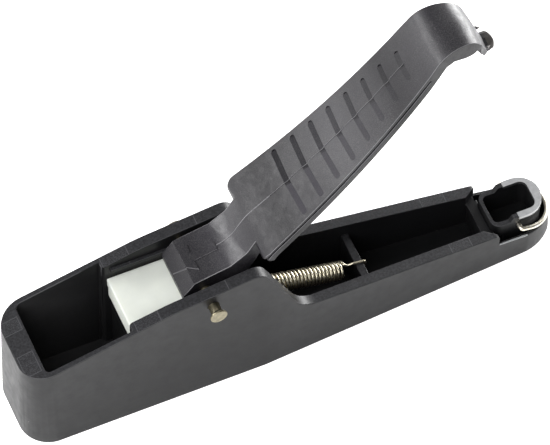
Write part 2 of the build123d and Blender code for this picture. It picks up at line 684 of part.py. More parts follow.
def make_latch_bail():
    """Wire bail: two inturned ends in the socket's eyes, straight legs and a round loop."""
    half, leg = BAIL_HALF_WIDTH, BAIL_LEG
    inner, radius = BAIL_END_Y, BAIL_BEND_R
    with BuildLine() as route:
        stub = Line((0, inner), (0, half - radius))
        bend = JernArc(stub @ 1, (0, 1), radius, -90)
        leg_line = Line(bend @ 1, (leg, half))
        loop = JernArc(leg_line @ 1, (1, 0), half, -180)
        back = Line(loop @ 1, (radius, -half))
        far_bend = JernArc(back @ 1, (-1, 0), radius, -90)
        Line(far_bend @ 1, (0, -inner))
    path = route.wire()
    bail = sweep_round(path, BAIL_WIRE_R)
    return Pos(BAIL_PIVOT[0], 0, BAIL_PIVOT[1]) * Rot(0, BAIL_DROOP_DEG, 0) * bail


if __name__ == "__main__":
    os.makedirs("parts", exist_ok=True)
    makers = {
        "housing": make_housing,
        "lever": make_lever,
        "pivot_pin": make_pivot_pin,
        "pivot_retainer": make_pivot_retainer,
        "drive_pin": make_drive_pin,
        "spring_bar": make_spring_bar,
        "pusher_block": make_pusher_block,
        "return_spring": make_return_spring,
        "nose_socket": make_nose_socket,
        "striker_plate": make_striker_plate,
        "latch_bail": make_latch_bail,
    }
    for name, maker in makers.items():
        save(maker(), name)
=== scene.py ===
from math import cos, pi, radians, sin

import bmesh
import bpy
from mathutils import Matrix, Vector
from mathutils.bvhtree import BVHTree


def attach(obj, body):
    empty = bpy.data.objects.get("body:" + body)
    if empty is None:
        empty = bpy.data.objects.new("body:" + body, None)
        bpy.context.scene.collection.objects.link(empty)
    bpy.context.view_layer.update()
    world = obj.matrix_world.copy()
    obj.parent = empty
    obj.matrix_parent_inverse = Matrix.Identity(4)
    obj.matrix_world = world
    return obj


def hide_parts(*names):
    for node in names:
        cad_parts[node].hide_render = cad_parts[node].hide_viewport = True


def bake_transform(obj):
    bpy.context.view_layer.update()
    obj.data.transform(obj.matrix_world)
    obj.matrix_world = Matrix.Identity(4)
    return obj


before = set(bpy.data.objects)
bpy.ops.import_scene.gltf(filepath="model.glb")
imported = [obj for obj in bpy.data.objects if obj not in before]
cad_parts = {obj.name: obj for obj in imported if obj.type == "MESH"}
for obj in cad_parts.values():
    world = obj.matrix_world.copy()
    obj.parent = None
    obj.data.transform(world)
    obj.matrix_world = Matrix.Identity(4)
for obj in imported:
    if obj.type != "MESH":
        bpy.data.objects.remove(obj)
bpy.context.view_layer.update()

MM = 0.001
scene = bpy.context.scene

# ---------------------------------------------------------------- the picture
# the camera: the way it looks back and to its right, and where it stands, in millimetres
CAMERA_BACK = Vector((-0.2148, -0.4927, 0.8433))
CAMERA_RIGHT = Vector((0.9167, -0.3996, 0.0))
CAMERA_ROLL = radians(0.20)
CAMERA_TARGET = Vector((26, 0, 25))
CAMERA_DISTANCE = 1787.8
CAMERA_SHIFT = (-0.116, 14.53)  # to its right, and up
CAMERA_SENSOR = 36.0
CAMERA_ZOOM = 6000.0 / 550.0    # the lens's length over the sensor's width
CAMERA_CLIP = (0.05, 50.0)      # what it sees, in metres

# the lamps, in metres and watts: name, place, size and power
LIGHTS = (
    ("camera_side", (-0.95, -0.60, 1.15), (1.5, 1.5), 31.0),
    ("left_back", (-1.0, 0.65, 0.60), (0.9, 0.40), 10.5),
    ("right_back", (1.1, 0.6, 0.18), (0.9, 0.5), 31.0),
    ("overhead", (0.35, 0.75, 1.2), (0.8, 0.8), 2.0),
)
LIGHT_AIM = (0.02, 0, 0.03)
WORLD_STRENGTH = 0.13

# the white floor, in metres
FLOOR_HALF = 3.0
FLOOR_DROP = 0.0002
FLOOR_LEVEL = 0.96
FLOOR_ROUGH = 0.9
FLOOR_GLOW = 0.9

# ---------------------------------------------------------------- the spring, in millimetres
SPRING_Y = -1.0
COIL_START = Vector((13.0, SPRING_Y, 23.8))
COIL_END = Vector((47.1, SPRING_Y, 13.7))
COIL_MEAN_R = 2.66
COIL_TURNS = 28.4
COIL_PHASE = radians(152)
COIL_STEPS_PER_TURN = 18
WIRE_R = 0.42
WIRE_SIDES = 10

# the loop round the groove in the bar: its sweep and its last angle, in degrees
SPRING_BAR = Vector((5.0, SPRING_Y, 26.0))
SPRING_GROOVE_R = 0.97          # the groove's floor, and a little play
LOOP_STEPS = 19
LOOP_SWEEP = 330
LOOP_LAST = -75
LOOP_ASIDE = 0.5 * WIRE_R       # how far the wire moves to the side in the loop
LEAD_BACK, LEAD_DOWN, LEAD_ASIDE = 2.2, 0.7, 0.3    # the wire's way from the loop to the coil

# the hook over the rib: x, how far it stands off the coil's line to the near side, and z
RIB = (51.3, 53.8)
RIB_TOP_Z = 15.6
HOOK_Z = RIB_TOP_Z + WIRE_R + 0.03
HOOK = (
    (48.35, 0.05, 15.75),
    (49.2, 0.2, 15.55),
    (RIB[0] - 0.9, 0.5, HOOK_Z + 0.02),
    (RIB[0] + 0.1, 0.65, HOOK_Z),
    (RIB[1] - 0.2, 0.9, HOOK_Z),
    (RIB[1] + 0.35, 0.95, HOOK_Z - 0.1),
    (RIB[1] + 0.5, 0.95, HOOK_Z - 0.6),
    (RIB[1] + 0.5, 0.95, HOOK_Z - 2.0),
)
HOOK_LEAD_TURNS = 0.06          # the coil's last bit, which gives the hook its direction
HOOK_PARTS = 4

# ---------------------------------------------------------------- places on the handle, in millimetres
LINE_X = (7.0, 66.0)            # the parting line on the ridge
LINE_R = 0.13
LINE_SUNK = 0.07
LINE_STEPS = 70
LINE_SIDES = 6
RAY_START_Z = 200               # above everything, to look down for the ridge

# the arrow at the pivot end: for the painted highlight on its sloping sides, and for the edges that stay
# sharp
ARROW_X = (-7.4, 9.0)
ARROW_Y = (-5.3, 5.3)
ARROW_LOWEST_Z = 43.8
ARROW_EDGES_END_X = 8
ARROW_EDGES_HALF_Y = 5.2
ARROW_EDGES_LOWEST_Z = 43

GROOVES_X = (22.0, 72.0)
GROOVES_LAST_Y = -1.0           # only the near side's grooves get painted light
# the stretch of the parting line that gets a painted highlight
LINE_HIGHLIGHT_X = (7.0, 24.0)
LINE_HIGHLIGHT_Y = (-0.15, 0.15)

# the lip at the nose: its lighter rim, and the stretch where no edge is rounded
LIP_OUT = (0.899, 0.438)        # the way the rim stands, in x and z
LIP_RIM_RISE = 130.3            # how far that way the lighter rim starts
LIP_TOP_Z = 111.7               # the rim is all below this
LIP_START_X = 87.5
LIP_END_Y = 6.5

# painted light and shade along the handle, from the pivot to the hook: share of the way, and level
HANDLE_LENGTH = 92
HANDLE_LIGHT_AND_SHADE = (
    (0.0, 0.85), (0.10, 1.60), (0.20, 0.80), (0.26, 0.62), (0.34, 0.82), (0.50, 1.18),
    (0.60, 0.95), (0.67, 0.68), (0.74, 0.85), (0.79, 1.15), (0.88, 0.95), (0.96, 1.2),
)

# ---------------------------------------------------------------- places on the housing, in millimetres
# the bay's inside, where painted light lifts the plastic, fading toward the block
BAY_INSIDE_X = (-52.4, -21.0)
BAY_INSIDE_Y = (-13.15, 13.15)
BAY_FADE_X = (-46.0, -26.0)

# patches on the rim that look lighter, with a line round each: low and high x, low and high y
RIM_PATCHES = (
    (-59.5, -53.0, 4.4, 9.2),
    (-58.2, -53.2, -11.0, -3.4),
    (-24.0, -16.4, -14.5, -9.0),
    (-24.8, -16.4, 9.0, 14.5),
    (5.0, 5.25, -14.5, -9.0),
    (5.2, 5.45, 9.0, 14.5),
    (77.6, 85.4, 7.0, 13.0),
    (79.3, 86.2, -13.0, -7.0),
)
PATCH_LINE = 0.22               # the line's width
RIM_LOWEST_Z = 12.0             # the rim's faces are all above this

# the painted highlight along the top edge of the wall at the nose, which slopes and narrows along x
NOSE_EDGE_X = (95.3, 105.0)
NOSE_EDGE_Y = (-10.7, -9.72)    # at the edge's wide end
NOSE_EDGE_TAPER = 0.063
NOSE_EDGE_Z = (10.72, 11.3)     # at the edge's high end
NOSE_EDGE_FALL = 0.142


# ---------------------------------------------------------------- camera, light and floor
def make_camera():
    back = CAMERA_BACK.normalized()
    right = CAMERA_RIGHT.normalized()
    up = back.cross(right).normalized()
    turned_right = cos(CAMERA_ROLL) * right + sin(CAMERA_ROLL) * up
    turned_up = cos(CAMERA_ROLL) * up - sin(CAMERA_ROLL) * right
    place = CAMERA_TARGET * MM + CAMERA_DISTANCE * MM * back
    place += CAMERA_SHIFT[0] * MM * turned_right
    place += CAMERA_SHIFT[1] * MM * turned_up
    data = bpy.data.cameras.new("camera")
    data.sensor_fit = "HORIZONTAL"
    data.sensor_width = CAMERA_SENSOR
    data.lens = CAMERA_ZOOM * CAMERA_SENSOR
    data.clip_start, data.clip_end = CAMERA_CLIP
    camera = bpy.data.objects.new("camera", data)
    turn = Matrix((turned_right, turned_up, back)).transposed().to_4x4()
    camera.matrix_world = Matrix.Translation(place) @ turn
    scene.collection.objects.link(camera)
    scene.camera = camera


def area_light(name, place, size, power):
    data = bpy.data.lights.new(name, "AREA")
    data.shape = "RECTANGLE"
    data.size, data.size_y = size
    data.energy = power
    lamp = bpy.data.objects.new(name, data)
    lamp.location = place
    lamp.rotation_euler = (Vector(LIGHT_AIM) - Vector(place)).to_track_quat("-Z", "Y").to_euler()
    scene.collection.objects.link(lamp)


def make_lights():
    world = bpy.data.worlds.new("studio")
    scene.world = world
    world.use_nodes = True
    background = world.node_tree.nodes["Background"]
    background.inputs["Color"].default_value = (1, 1, 1, 1)
    background.inputs["Strength"].default_value = WORLD_STRENGTH
    for name, place, size, power in LIGHTS:
        area_light(name, place, size, power)


def make_floor():
    mesh = bpy.data.meshes.new("floor")
    signs = ((-1, -1), (1, -1), (1, 1), (-1, 1))
    corners = [(x * FLOOR_HALF, y * FLOOR_HALF, 0) for x, y in signs]
    mesh.from_pydata(corners, [], [(0, 1, 2, 3)])
    floor = bpy.data.objects.new("floor", mesh)
    floor.location.z = -FLOOR_DROP
    scene.collection.objects.link(floor)
    material = bpy.data.materials.new("floor")
    material.use_nodes = True
    shader = material.node_tree.nodes["Principled BSDF"]
    shader.inputs["Base Color"].default_value = (FLOOR_LEVEL, FLOOR_LEVEL, FLOOR_LEVEL, 1)
    shader.inputs["Roughness"].default_value = FLOOR_ROUGH
    shader.inputs["Emission Color"].default_value = (1, 1, 1, 1)
    shader.inputs["Emission Strength"].default_value = FLOOR_GLOW
    mesh.materials.append(material)


# ---------------------------------------------------------------- tools for materials
# a colour mix node's sockets, by number
MIX_FIRST, MIX_SECOND, MIX_RESULT = 6, 7, 2

# most values of a noise lie between these
NOISE_LOW, NOISE_HIGH = 0.3, 0.7

# dust: cells per metre, the random values that make a spot, and a spot's size in shares of a cell
DUST_CELLS = 190
DUST_LOW, DUST_HIGH = 0.93, 1.0
DUST_SIZE = 0.055

# how much of a normal points up, or aside, where a face starts to count and where it counts in full
TOP_FACES = (0.80, 0.97)
GROOVE_FACES = (0.84, 0.93)
ARROW_FACES = (0.45, 0.58)
SIDE_FACES = (0.86, 0.94)

# a painted edge highlight lies where a face looks this far to the side, give or take the second number,
# and up more than the third
EDGE_SIDE, EDGE_SPREAD, EDGE_UP = 0.58, 0.26, 0.3


class Nodes:
    """A short way to build one material's node tree."""

    def __init__(self, name):
        self.material = bpy.data.materials.new(name)
        self.material.use_nodes = True
        self.tree = self.material.node_tree
        self.shader = self.tree.nodes["Principled BSDF"]
        self.place = self.tree.nodes.new("ShaderNodeTexCoord").outputs["Object"]

    def link(self, source, target):
        if isinstance(source, bpy.types.NodeSocket):
            self.tree.links.new(source, target)
        else:
            target.default_value = source

    def give(self, key, value):
        """Set one of the shader's inputs, by its name."""
        self.link(value, self.shader.inputs[key])

    def parts(self, vector):
        """The x, y and z of a vector."""
        node = self.tree.nodes.new("ShaderNodeSeparateXYZ")
        self.link(vector, node.inputs["Vector"])
        return node.outputs["X"], node.outputs["Y"], node.outputs["Z"]

    def normal_parts(self):
        """The x, y and z of the way a face looks."""
        return self.parts(self.tree.nodes.new("ShaderNodeTexCoord").outputs["Normal"])

    def math(self, kind, a, b=0.0, c=None):
        node = self.tree.nodes.new("ShaderNodeMath")
        node.operation = kind
        self.link(a, node.inputs[0])
        self.link(b, node.inputs[1])
        if c is not None:
            self.link(c, node.inputs[2])
        return node.outputs[0]

    def product(self, first, *others):
        """All the values multiplied. For masks, 1 where all of them are 1."""
        for other in others:
            first = self.math("MULTIPLY", first, other)
        return first

    def ramp(self, value, low, high, out_low=0.0, out_high=1.0):
        node = self.tree.nodes.new("ShaderNodeMapRange")
        node.clamp = True
        self.link(value, node.inputs["Value"])
        node.inputs["From Min"].default_value = low
        node.inputs["From Max"].default_value = high
        node.inputs["To Min"].default_value = out_low
        node.inputs["To Max"].default_value = out_high
        return node.outputs["Result"]

    def profile(self, value, low, high, stops):
        """A grey level that follows stops (share, level) as the value goes from low to high."""
        node = self.tree.nodes.new("ShaderNodeValToRGB")
        node.color_ramp.interpolation = "EASE"
        elements = node.color_ramp.elements
        elements.remove(elements[1])
        for number, (share, level) in enumerate(stops):
            element = elements[0] if number == 0 else elements.new(share)
            element.position = share
            element.color = (level, level, level, 1)
        self.link(self.ramp(value, low, high), node.inputs["Fac"])
        return node.outputs["Color"]

    def noise(self, scale, detail, rough):
        """A cloudy value; scale is in cells per metre."""
        node = self.tree.nodes.new("ShaderNodeTexNoise")
        node.inputs["Scale"].default_value = scale
        node.inputs["Detail"].default_value = detail
        node.inputs["Roughness"].default_value = rough
        self.link(self.place, node.inputs["Vector"])
        return node.outputs["Fac"]

    def cloud(self, noise, out_low=0.0, out_high=1.0):
        """A noise spread over the whole range from out_low to out_high."""
        return self.ramp(self.noise(*noise), NOISE_LOW, NOISE_HIGH, out_low, out_high)

    def mix(self, factor, a, b, blend="MIX"):
        node = self.tree.nodes.new("ShaderNodeMix")
        node.data_type = "RGBA"
        node.blend_type = blend
        self.link(factor, node.inputs["Factor"])
        self.link(a, node.inputs[MIX_FIRST])
        self.link(b, node.inputs[MIX_SECOND])
        return node.outputs[MIX_RESULT]

    def shades(self, factor, dark, light):
        """A colour between two sRGB colours."""
        return self.mix(factor, colour(dark), colour(light))

    def bump(self, height, strength, distance):
        """Small relief on the surface, as deep as distance in metres."""
        node = self.tree.nodes.new("ShaderNodeBump")
        node.inputs["Strength"].default_value = strength
        node.inputs["Distance"].default_value = distance
        self.link(height, node.inputs["Height"])
        self.give("Normal", node.outputs["Normal"])


def colour(rgb):
    """An sRGB colour, 0 to 255, as linear."""
    return tuple(((v / 255 + 0.055) / 1.055) ** 2.4 if v > 10 else v / 255 / 12.92 for v in rgb) + (1.0,)


def dust(n):
    """Small round spots: 1 inside a spot, 0 outside, only where a cell's own random value is high."""
    cell = n.tree.nodes.new("ShaderNodeTexVoronoi")
    cell.inputs["Scale"].default_value = DUST_CELLS
    n.link(n.place, cell.inputs["Vector"])
    split = n.tree.nodes.new("ShaderNodeSeparateColor")
    n.link(cell.outputs["Color"], split.inputs["Color"])
    size = n.ramp(split.outputs["Red"], DUST_LOW, DUST_HIGH)
    return n.math("LESS_THAN", cell.outputs["Distance"], n.product(size, DUST_SIZE))


def within(n, value, low, high):
    """1 where a value in metres lies between two limits in millimetres, else 0."""
    return n.math("COMPARE", value, (low + high) / 2 * MM, (high - low) / 2 * MM)


def above(n, value, limit):
    """1 where a value in metres is more than a limit in millimetres, else 0."""
    return n.math("GREATER_THAN", value, limit * MM)


def below(n, value, limit):
    """1 where a value in metres is less than a limit in millimetres, else 0."""
    return n.math("LESS_THAN", value, limit * MM)


def facing_up(n, faces):
    """1 on faces that look up, 0 on walls; faces says where it starts and where it is full."""
    return n.ramp(n.normal_parts()[2], *faces)


def facing_aside(n):
    """How far a face looks to either side, 0 to 1, and the height part of its normal."""
    _, aside, up = n.normal_parts()
    return n.math("ABSOLUTE", aside), up


def edge_highlight(n):
    """Painted highlight: 1 along the rounded edges between a top face and a side wall."""
    aside, up = facing_aside(n)
    slanted = n.math("COMPARE", aside, EDGE_SIDE, EDGE_SPREAD)
    return n.product(slanted, n.math("GREATER_THAN", up, EDGE_UP))


# In the materials below, a colour is sRGB, 0 to 255, a NOISE is cells per metre, detail and roughness, a
# RANGE is the part of a noise that goes from 0 to 1, and a RELIEF is a bump's strength, and its depth in
# metres.

# ---------------------------------------------------------------- the housing's black plastic
WALL_DARK, WALL_LIGHT = (19, 19, 20), (22, 22, 24)
# painted light: the bay's inside is the same plastic, drawn lighter
LIT_BAY_DARK, LIT_BAY_LIGHT = (46, 46, 47), (60, 60, 61)
# painted light: the rim's top faces are the same plastic, drawn lighter than the walls, with a grain
LIT_RIM_DARK, LIT_RIM_LIGHT = (30, 30, 32), (52, 52, 55)
PATCH_DARK, PATCH_LIGHT = (32, 32, 34), (64, 64, 67)
# the colour of the patches' outline, and of the painted highlight on rounded edges
RIM_LINE_AND_HIGHLIGHT = (84, 84, 87)
# painted highlight along the edge at the nose
NOSE_HIGHLIGHT = (176, 178, 180)
DUST = (120, 120, 120)
WALL_NOISE = (45, 3, 0.55)
RIM_NOISE, RIM_RANGE = (1500, 2, 0.6), (0.35, 0.75)
PATCH_NOISE, PATCH_RANGE = (2600, 2, 0.7), (0.40, 0.70)
PATCH_LINE_SHARE = 0.55
# how much of the bay's painted light is left by the block
BAY_FADE_LEVEL = 0.2
# how strong the painted highlight on the housing's rounded edges is
HOUSING_HIGHLIGHT_SHARE = 0.5
HOUSING_SPECULAR = 0.27
HOUSING_GLOSS_NOISE = (300, 3, 0.6)
HOUSING_ROUGHNESS = (0.40, 0.50)
HOUSING_GRAIN_NOISE = (2600, 2, 0.6)
HOUSING_WAVE_NOISE = (110, 2, 0.5)
HOUSING_WAVE_HEIGHT = 1.5       # next to the grain's
HOUSING_RELIEF = (0.08, 0.00006)


def bay_painted_light(n, x, y):
    """Painted light: 1 inside the bay, fading toward the block."""
    inside = n.product(within(n, x, *BAY_INSIDE_X), within(n, y, *BAY_INSIDE_Y))
    return n.product(inside, n.ramp(x, BAY_FADE_X[0] * MM, BAY_FADE_X[1] * MM, 1.0, BAY_FADE_LEVEL))


def rim_patches(n, x, y):
    """Two masks: 1 on the light patches, and 1 on the line round each patch."""
    patch, edge = 0.0, 0.0
    for low_x, high_x, low_y, high_y in RIM_PATCHES:
        full = n.product(within(n, x, low_x, high_x), within(n, y, low_y, high_y))
        core_x = within(n, x, low_x + PATCH_LINE, high_x - PATCH_LINE)
        core_y = within(n, y, low_y + PATCH_LINE, high_y - PATCH_LINE)
        line = n.math("SUBTRACT", full, n.product(core_x, core_y))
        patch = n.math("MAXIMUM", full, patch)
        edge = n.math("MAXIMUM", line, edge)
    return patch, edge


def nose_highlight(n, x, y, z):
    """Painted highlight: 1 on the top edge of the wall at the nose, which slopes and narrows along x."""
    along = n.math("SUBTRACT", x, NOSE_EDGE_X[0] * MM)
    level = n.math("MULTIPLY_ADD", along, NOSE_EDGE_FALL, z)
    across = n.math("MULTIPLY_ADD", along, -NOSE_EDGE_TAPER, y)
    edge = n.product(within(n, x, *NOSE_EDGE_X), within(n, level, *NOSE_EDGE_Z))
    return n.product(edge, within(n, across, *NOSE_EDGE_Y))


def housing_plastic():
    n = Nodes("housing_plastic")
    x, y, z = n.parts(n.place)
    cloud = n.cloud(WALL_NOISE)
    wall = n.shades(cloud, WALL_DARK, WALL_LIGHT)
    # painted light inside the bay
    wall = n.mix(bay_painted_light(n, x, y), wall, n.shades(cloud, LIT_BAY_DARK, LIT_BAY_LIGHT))
    # painted light on the faces that look up, with a grain
    rim = n.shades(n.ramp(n.noise(*RIM_NOISE), *RIM_RANGE), LIT_RIM_DARK, LIT_RIM_LIGHT)
    patch, line = rim_patches(n, x, y)
    grain = n.ramp(n.noise(*PATCH_NOISE), *PATCH_RANGE)
    rim = n.mix(patch, rim, n.shades(grain, PATCH_DARK, PATCH_LIGHT))
    rim = n.mix(n.product(line, PATCH_LINE_SHARE), rim, colour(RIM_LINE_AND_HIGHLIGHT))
    # the lit copy goes on faces that look up above the rim's lowest height
    base = n.mix(n.product(facing_up(n, TOP_FACES), above(n, z, RIM_LOWEST_Z)), wall, rim)
    # painted highlight at the nose
    base = n.mix(nose_highlight(n, x, y, z), base, colour(NOSE_HIGHLIGHT))
    # painted highlight on the rounded edges
    base = n.mix(n.product(edge_highlight(n), HOUSING_HIGHLIGHT_SHARE), base, colour(RIM_LINE_AND_HIGHLIGHT))
    base = n.mix(dust(n), base, colour(DUST))
    n.give("Base Color", base)
    n.give("Roughness", n.cloud(HOUSING_GLOSS_NOISE, *HOUSING_ROUGHNESS))
    n.give("Specular IOR Level", HOUSING_SPECULAR)
    waves = n.product(n.noise(*HOUSING_WAVE_NOISE), HOUSING_WAVE_HEIGHT)
    n.bump(n.math("ADD", n.noise(*HOUSING_GRAIN_NOISE), waves), *HOUSING_RELIEF)
    return n.material


# ---------------------------------------------------------------- the handle's grained plastic
TOP_DARK, TOP_LIGHT = (25, 23, 29), (31, 29, 35)
FLECK = (76, 75, 76)
# painted light on the near side's groove floors, with the flecks
LIT_GROOVE_DARK, LIT_GROOVE_LIGHT = (58, 56, 62), (82, 81, 84)
# painted highlight on the arrow's sides and the parting line
MARK_HIGHLIGHT = (112, 111, 114)
# painted highlight on the handle's rounded edges
HANDLE_EDGE_HIGHLIGHT = (128, 127, 130)
LIP_DARK, LIP_LIGHT = (112, 108, 105), (140, 136, 131)
TOP_NOISE = (60, 3, 0.55)
FLECK_NOISE, FLECK_RANGE = (4400, 1, 0.5), (0.44, 0.74)
COVER_NOISE, COVER_RANGE = (70, 2, 0.5), (0.35, 0.65)
COVER_LEAST, COVER_MOST = 0.42, 0.80    # how strong the flecks are from place to place
SIDE_WALL_SHADE = 0.55               # painted shade on the side walls: how light they are next to the top
# how strong that painted highlight is
HANDLE_HIGHLIGHT_SHARE = 0.7
LIP_RIM_SHARE = 0.85
HANDLE_SPECULAR = 0.48
HANDLE_GLOSS_NOISE = (500, 3, 0.6)
HANDLE_ROUGHNESS = (0.36, 0.50)
HANDLE_GRAIN_NOISE = (4200, 2, 0.6)
HANDLE_RELIEF = (0.22, 0.00008)


def lit_near_grooves(n, x, y):
    """Painted light: 1 on the near side's grooves."""
    near = n.product(below(n, y, GROOVES_LAST_Y), facing_up(n, GROOVE_FACES))
    return n.product(near, within(n, x, *GROOVES_X))


def highlit_marks(n, x, y, z):
    """Painted highlight: 1 on the sloping sides of the arrow and on the short line behind it."""
    arrow = n.product(within(n, x, *ARROW_X), within(n, y, *ARROW_Y), above(n, z, ARROW_LOWEST_Z))
    arrow = n.product(arrow, n.math("SUBTRACT", 1.0, facing_up(n, ARROW_FACES)))
    line = n.product(within(n, x, *LINE_HIGHLIGHT_X), within(n, y, *LINE_HIGHLIGHT_Y))
    return n.math("MAXIMUM", arrow, line)


def lip_rim(n, x, z):
    """1 on the lighter rim of the lip at the nose."""
    rise = n.math("MULTIPLY_ADD", x, LIP_OUT[0], n.product(z, LIP_OUT[1]))
    return n.product(above(n, rise, LIP_RIM_RISE), below(n, z, LIP_TOP_Z))


def handle_plastic():
    n = Nodes("handle_plastic")
    x, y, z = n.parts(n.place)
    cover = n.ramp(n.noise(*COVER_NOISE), *COVER_RANGE, COVER_LEAST, COVER_MOST)
    fleck = n.product(n.ramp(n.noise(*FLECK_NOISE), *FLECK_RANGE), cover)
    base = n.shades(n.cloud(TOP_NOISE), TOP_DARK, TOP_LIGHT)
    base = n.mix(fleck, base, colour(FLECK))
    # painted light and shade along the handle, then painted shade on its side walls
    shade = n.profile(x, 0.0, HANDLE_LENGTH * MM, HANDLE_LIGHT_AND_SHADE)
    shade = n.product(shade, n.ramp(facing_aside(n)[0], *SIDE_FACES, 1.0, SIDE_WALL_SHADE))
    base = n.mix(1.0, base, shade, "MULTIPLY")
    # painted light on the near side's grooves
    base = n.mix(lit_near_grooves(n, x, y), base, n.shades(fleck, LIT_GROOVE_DARK, LIT_GROOVE_LIGHT))
    # painted highlight on the arrow's sides and the parting line
    base = n.mix(highlit_marks(n, x, y, z), base, colour(MARK_HIGHLIGHT))
    # painted highlight on the rounded edges
    base = n.mix(n.product(edge_highlight(n), HANDLE_HIGHLIGHT_SHARE), base, colour(HANDLE_EDGE_HIGHLIGHT))
    base = n.mix(n.product(lip_rim(n, x, z), LIP_RIM_SHARE), base, n.shades(fleck, LIP_DARK, LIP_LIGHT))
    n.give("Base Color", base)
    n.give("Roughness", n.cloud(HANDLE_GLOSS_NOISE, *HANDLE_ROUGHNESS))
    n.give("Specular IOR Level", n.product(shade, HANDLE_SPECULAR))
    n.bump(n.noise(*HANDLE_GRAIN_NOISE), *HANDLE_RELIEF)
    return n.material


# ---------------------------------------------------------------- the block's nylon and the metals
NYLON_DARK, NYLON_LIGHT = (200, 203, 196), (212, 215, 207)
NYLON_NOISE = (120, 3, 0.5)
NYLON_GLOSS_NOISE = (400, 2, 0.5)
NYLON_ROUGHNESS = (0.42, 0.55)
NYLON_SCATTER = 0.35            # how much light goes through the surface, and how far in metres
NYLON_SCATTER_R = (0.006, 0.006, 0.005)
# painted light: a faint glow that lifts the block's shaded faces
NYLON_PAINTED_GLOW = (0.95, 1.0, 0.93, 1)
NYLON_PAINTED_GLOW_STRENGTH = 0.13
NYLON_GRAIN_NOISE = (1800, 2, 0.5)
NYLON_RELIEF = (0.05, 0.00004)

METAL_DETAIL = (3, 0.6)         # of the noises for colour and gloss
METAL_GRAIN_DETAIL = (2, 0.6)
GLOSS_FINER, GRAIN_FINER = 3, 5     # next to the noise for colour
ROUGH_BELOW, ROUGH_ABOVE = 0.06, 0.08
METAL_RELIEF = (0.06, 0.00004)

COIL_UNDER_SHADE = 0.30         # painted shade: how light the coil's underside stays
COIL_LIT_FROM = 0.1             # how far above its axis, in coil radii, the coil is fully light


def white_nylon():
    n = Nodes("white_nylon")
    n.give("Base Color", n.shades(n.cloud(NYLON_NOISE), NYLON_DARK, NYLON_LIGHT))
    n.give("Roughness", n.cloud(NYLON_GLOSS_NOISE, *NYLON_ROUGHNESS))
    n.give("Subsurface Weight", NYLON_SCATTER)
    n.give("Subsurface Radius", NYLON_SCATTER_R)
    n.give("Subsurface Scale", 1.0)
    # painted light: the block glows a little
    n.give("Emission Color", NYLON_PAINTED_GLOW)
    n.give("Emission Strength", NYLON_PAINTED_GLOW_STRENGTH)
    n.bump(n.noise(*NYLON_GRAIN_NOISE), *NYLON_RELIEF)
    return n.material


def metal(name, dark, light, rough, scale, shade=None):
    """A metal between two sRGB colours; scale is in cells per metre, and shade paints shade on a part of
    it.
    """
    n = Nodes(name)
    n.give("Metallic", 1.0)
    tint = n.shades(n.cloud((scale, *METAL_DETAIL)), dark, light)
    if shade:
        tint = n.mix(1.0, tint, shade(n), "MULTIPLY")
    n.give("Base Color", tint)
    gloss_noise = (scale * GLOSS_FINER, *METAL_DETAIL)
    n.give("Roughness", n.cloud(gloss_noise, rough - ROUGH_BELOW, rough + ROUGH_ABOVE))
    n.bump(n.noise(scale * GRAIN_FINER, *METAL_GRAIN_DETAIL), *METAL_RELIEF)
    return n.material


def coil_directions():
    """The way along the coil from the handle's end, and the way up across it."""
    along = (COIL_END - COIL_START).normalized()
    return along, Vector((-along.z, 0, along.x))


def painted_coil_shade(n):
    """Painted shade: 1 on the upper part of the coil, and less toward its underside."""
    x, _, z = n.parts(n.place)
    _, up = coil_directions()
    height = n.math("ADD", n.product(x, up.x), n.product(z, up.z))
    axis = COIL_START.x * up.x + COIL_START.z * up.z
    lowest, lit = axis - COIL_MEAN_R, axis + COIL_LIT_FROM * COIL_MEAN_R
    return n.ramp(height, lowest * MM, lit * MM, COIL_UNDER_SHADE, 1.0)


MATERIALS = {
    "housing_plastic": housing_plastic(),
    "handle_plastic": handle_plastic(),
    "white_nylon": white_nylon(),
    "pin_steel": metal("pin_steel", (118, 112, 94), (150, 143, 121), 0.42, 700),
    "spring_steel": metal("spring_steel", (214, 205, 180), (242, 235, 214), 0.32, 900, painted_coil_shade),
    "plate_steel": metal("plate_steel", (176, 177, 179), (196, 197, 198), 0.40, 600),
    "bail_wire": metal("bail_wire", (222, 215, 196), (248, 244, 232), 0.34, 800),
}


# ---------------------------------------------------------------- moulded pieces
WELD = 2e-6                     # vertices this close, in metres, are one
FLAT_ANGLE = radians(1.0)       # faces that meet flatter than this are merged
CORNER_ANGLE = radians(28)      # edges sharper than this are corners
BEVEL_SEGMENTS = 2
WALL_TILT = 0.04                # a wall's normal has less height than this
SHORTEST_OUTLINE = 0.25         # the handle's edges shorter than this, in millimetres, stay sharp


def dress(piece, slot_name):
    piece.data.materials.clear()
    piece.data.materials.append(MATERIALS[slot_name])


def add_piece(name, mesh, body, slot_name, replaced=()):
    piece = bpy.data.objects.new(name, mesh)
    scene.collection.objects.link(piece)
    dress(piece, slot_name)
    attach(piece, body)
    if replaced:
        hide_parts(*replaced)


def mark_edges(mesh, rule):
    """Merge a mesh's flat faces, sharpen its corners, and mark those that rule picks for rounding."""
    bm = bmesh.new()
    bm.from_mesh(mesh)
    bmesh.ops.remove_doubles(bm, verts=bm.verts, dist=WELD)
    bmesh.ops.dissolve_limit(bm, angle_limit=FLAT_ANGLE, verts=bm.verts, edges=bm.edges)
    weights = bm.edges.layers.float.new("bevel_weight_edge")
    for edge in bm.edges:
        corner = len(edge.link_faces) == 2 and edge.calc_face_angle(0) > CORNER_ANGLE
        edge.smooth = not corner
        if corner and edge.is_convex and rule(edge):
            edge[weights] = 1.0
            edge.smooth = True
    bm.to_mesh(mesh)
    bm.free()


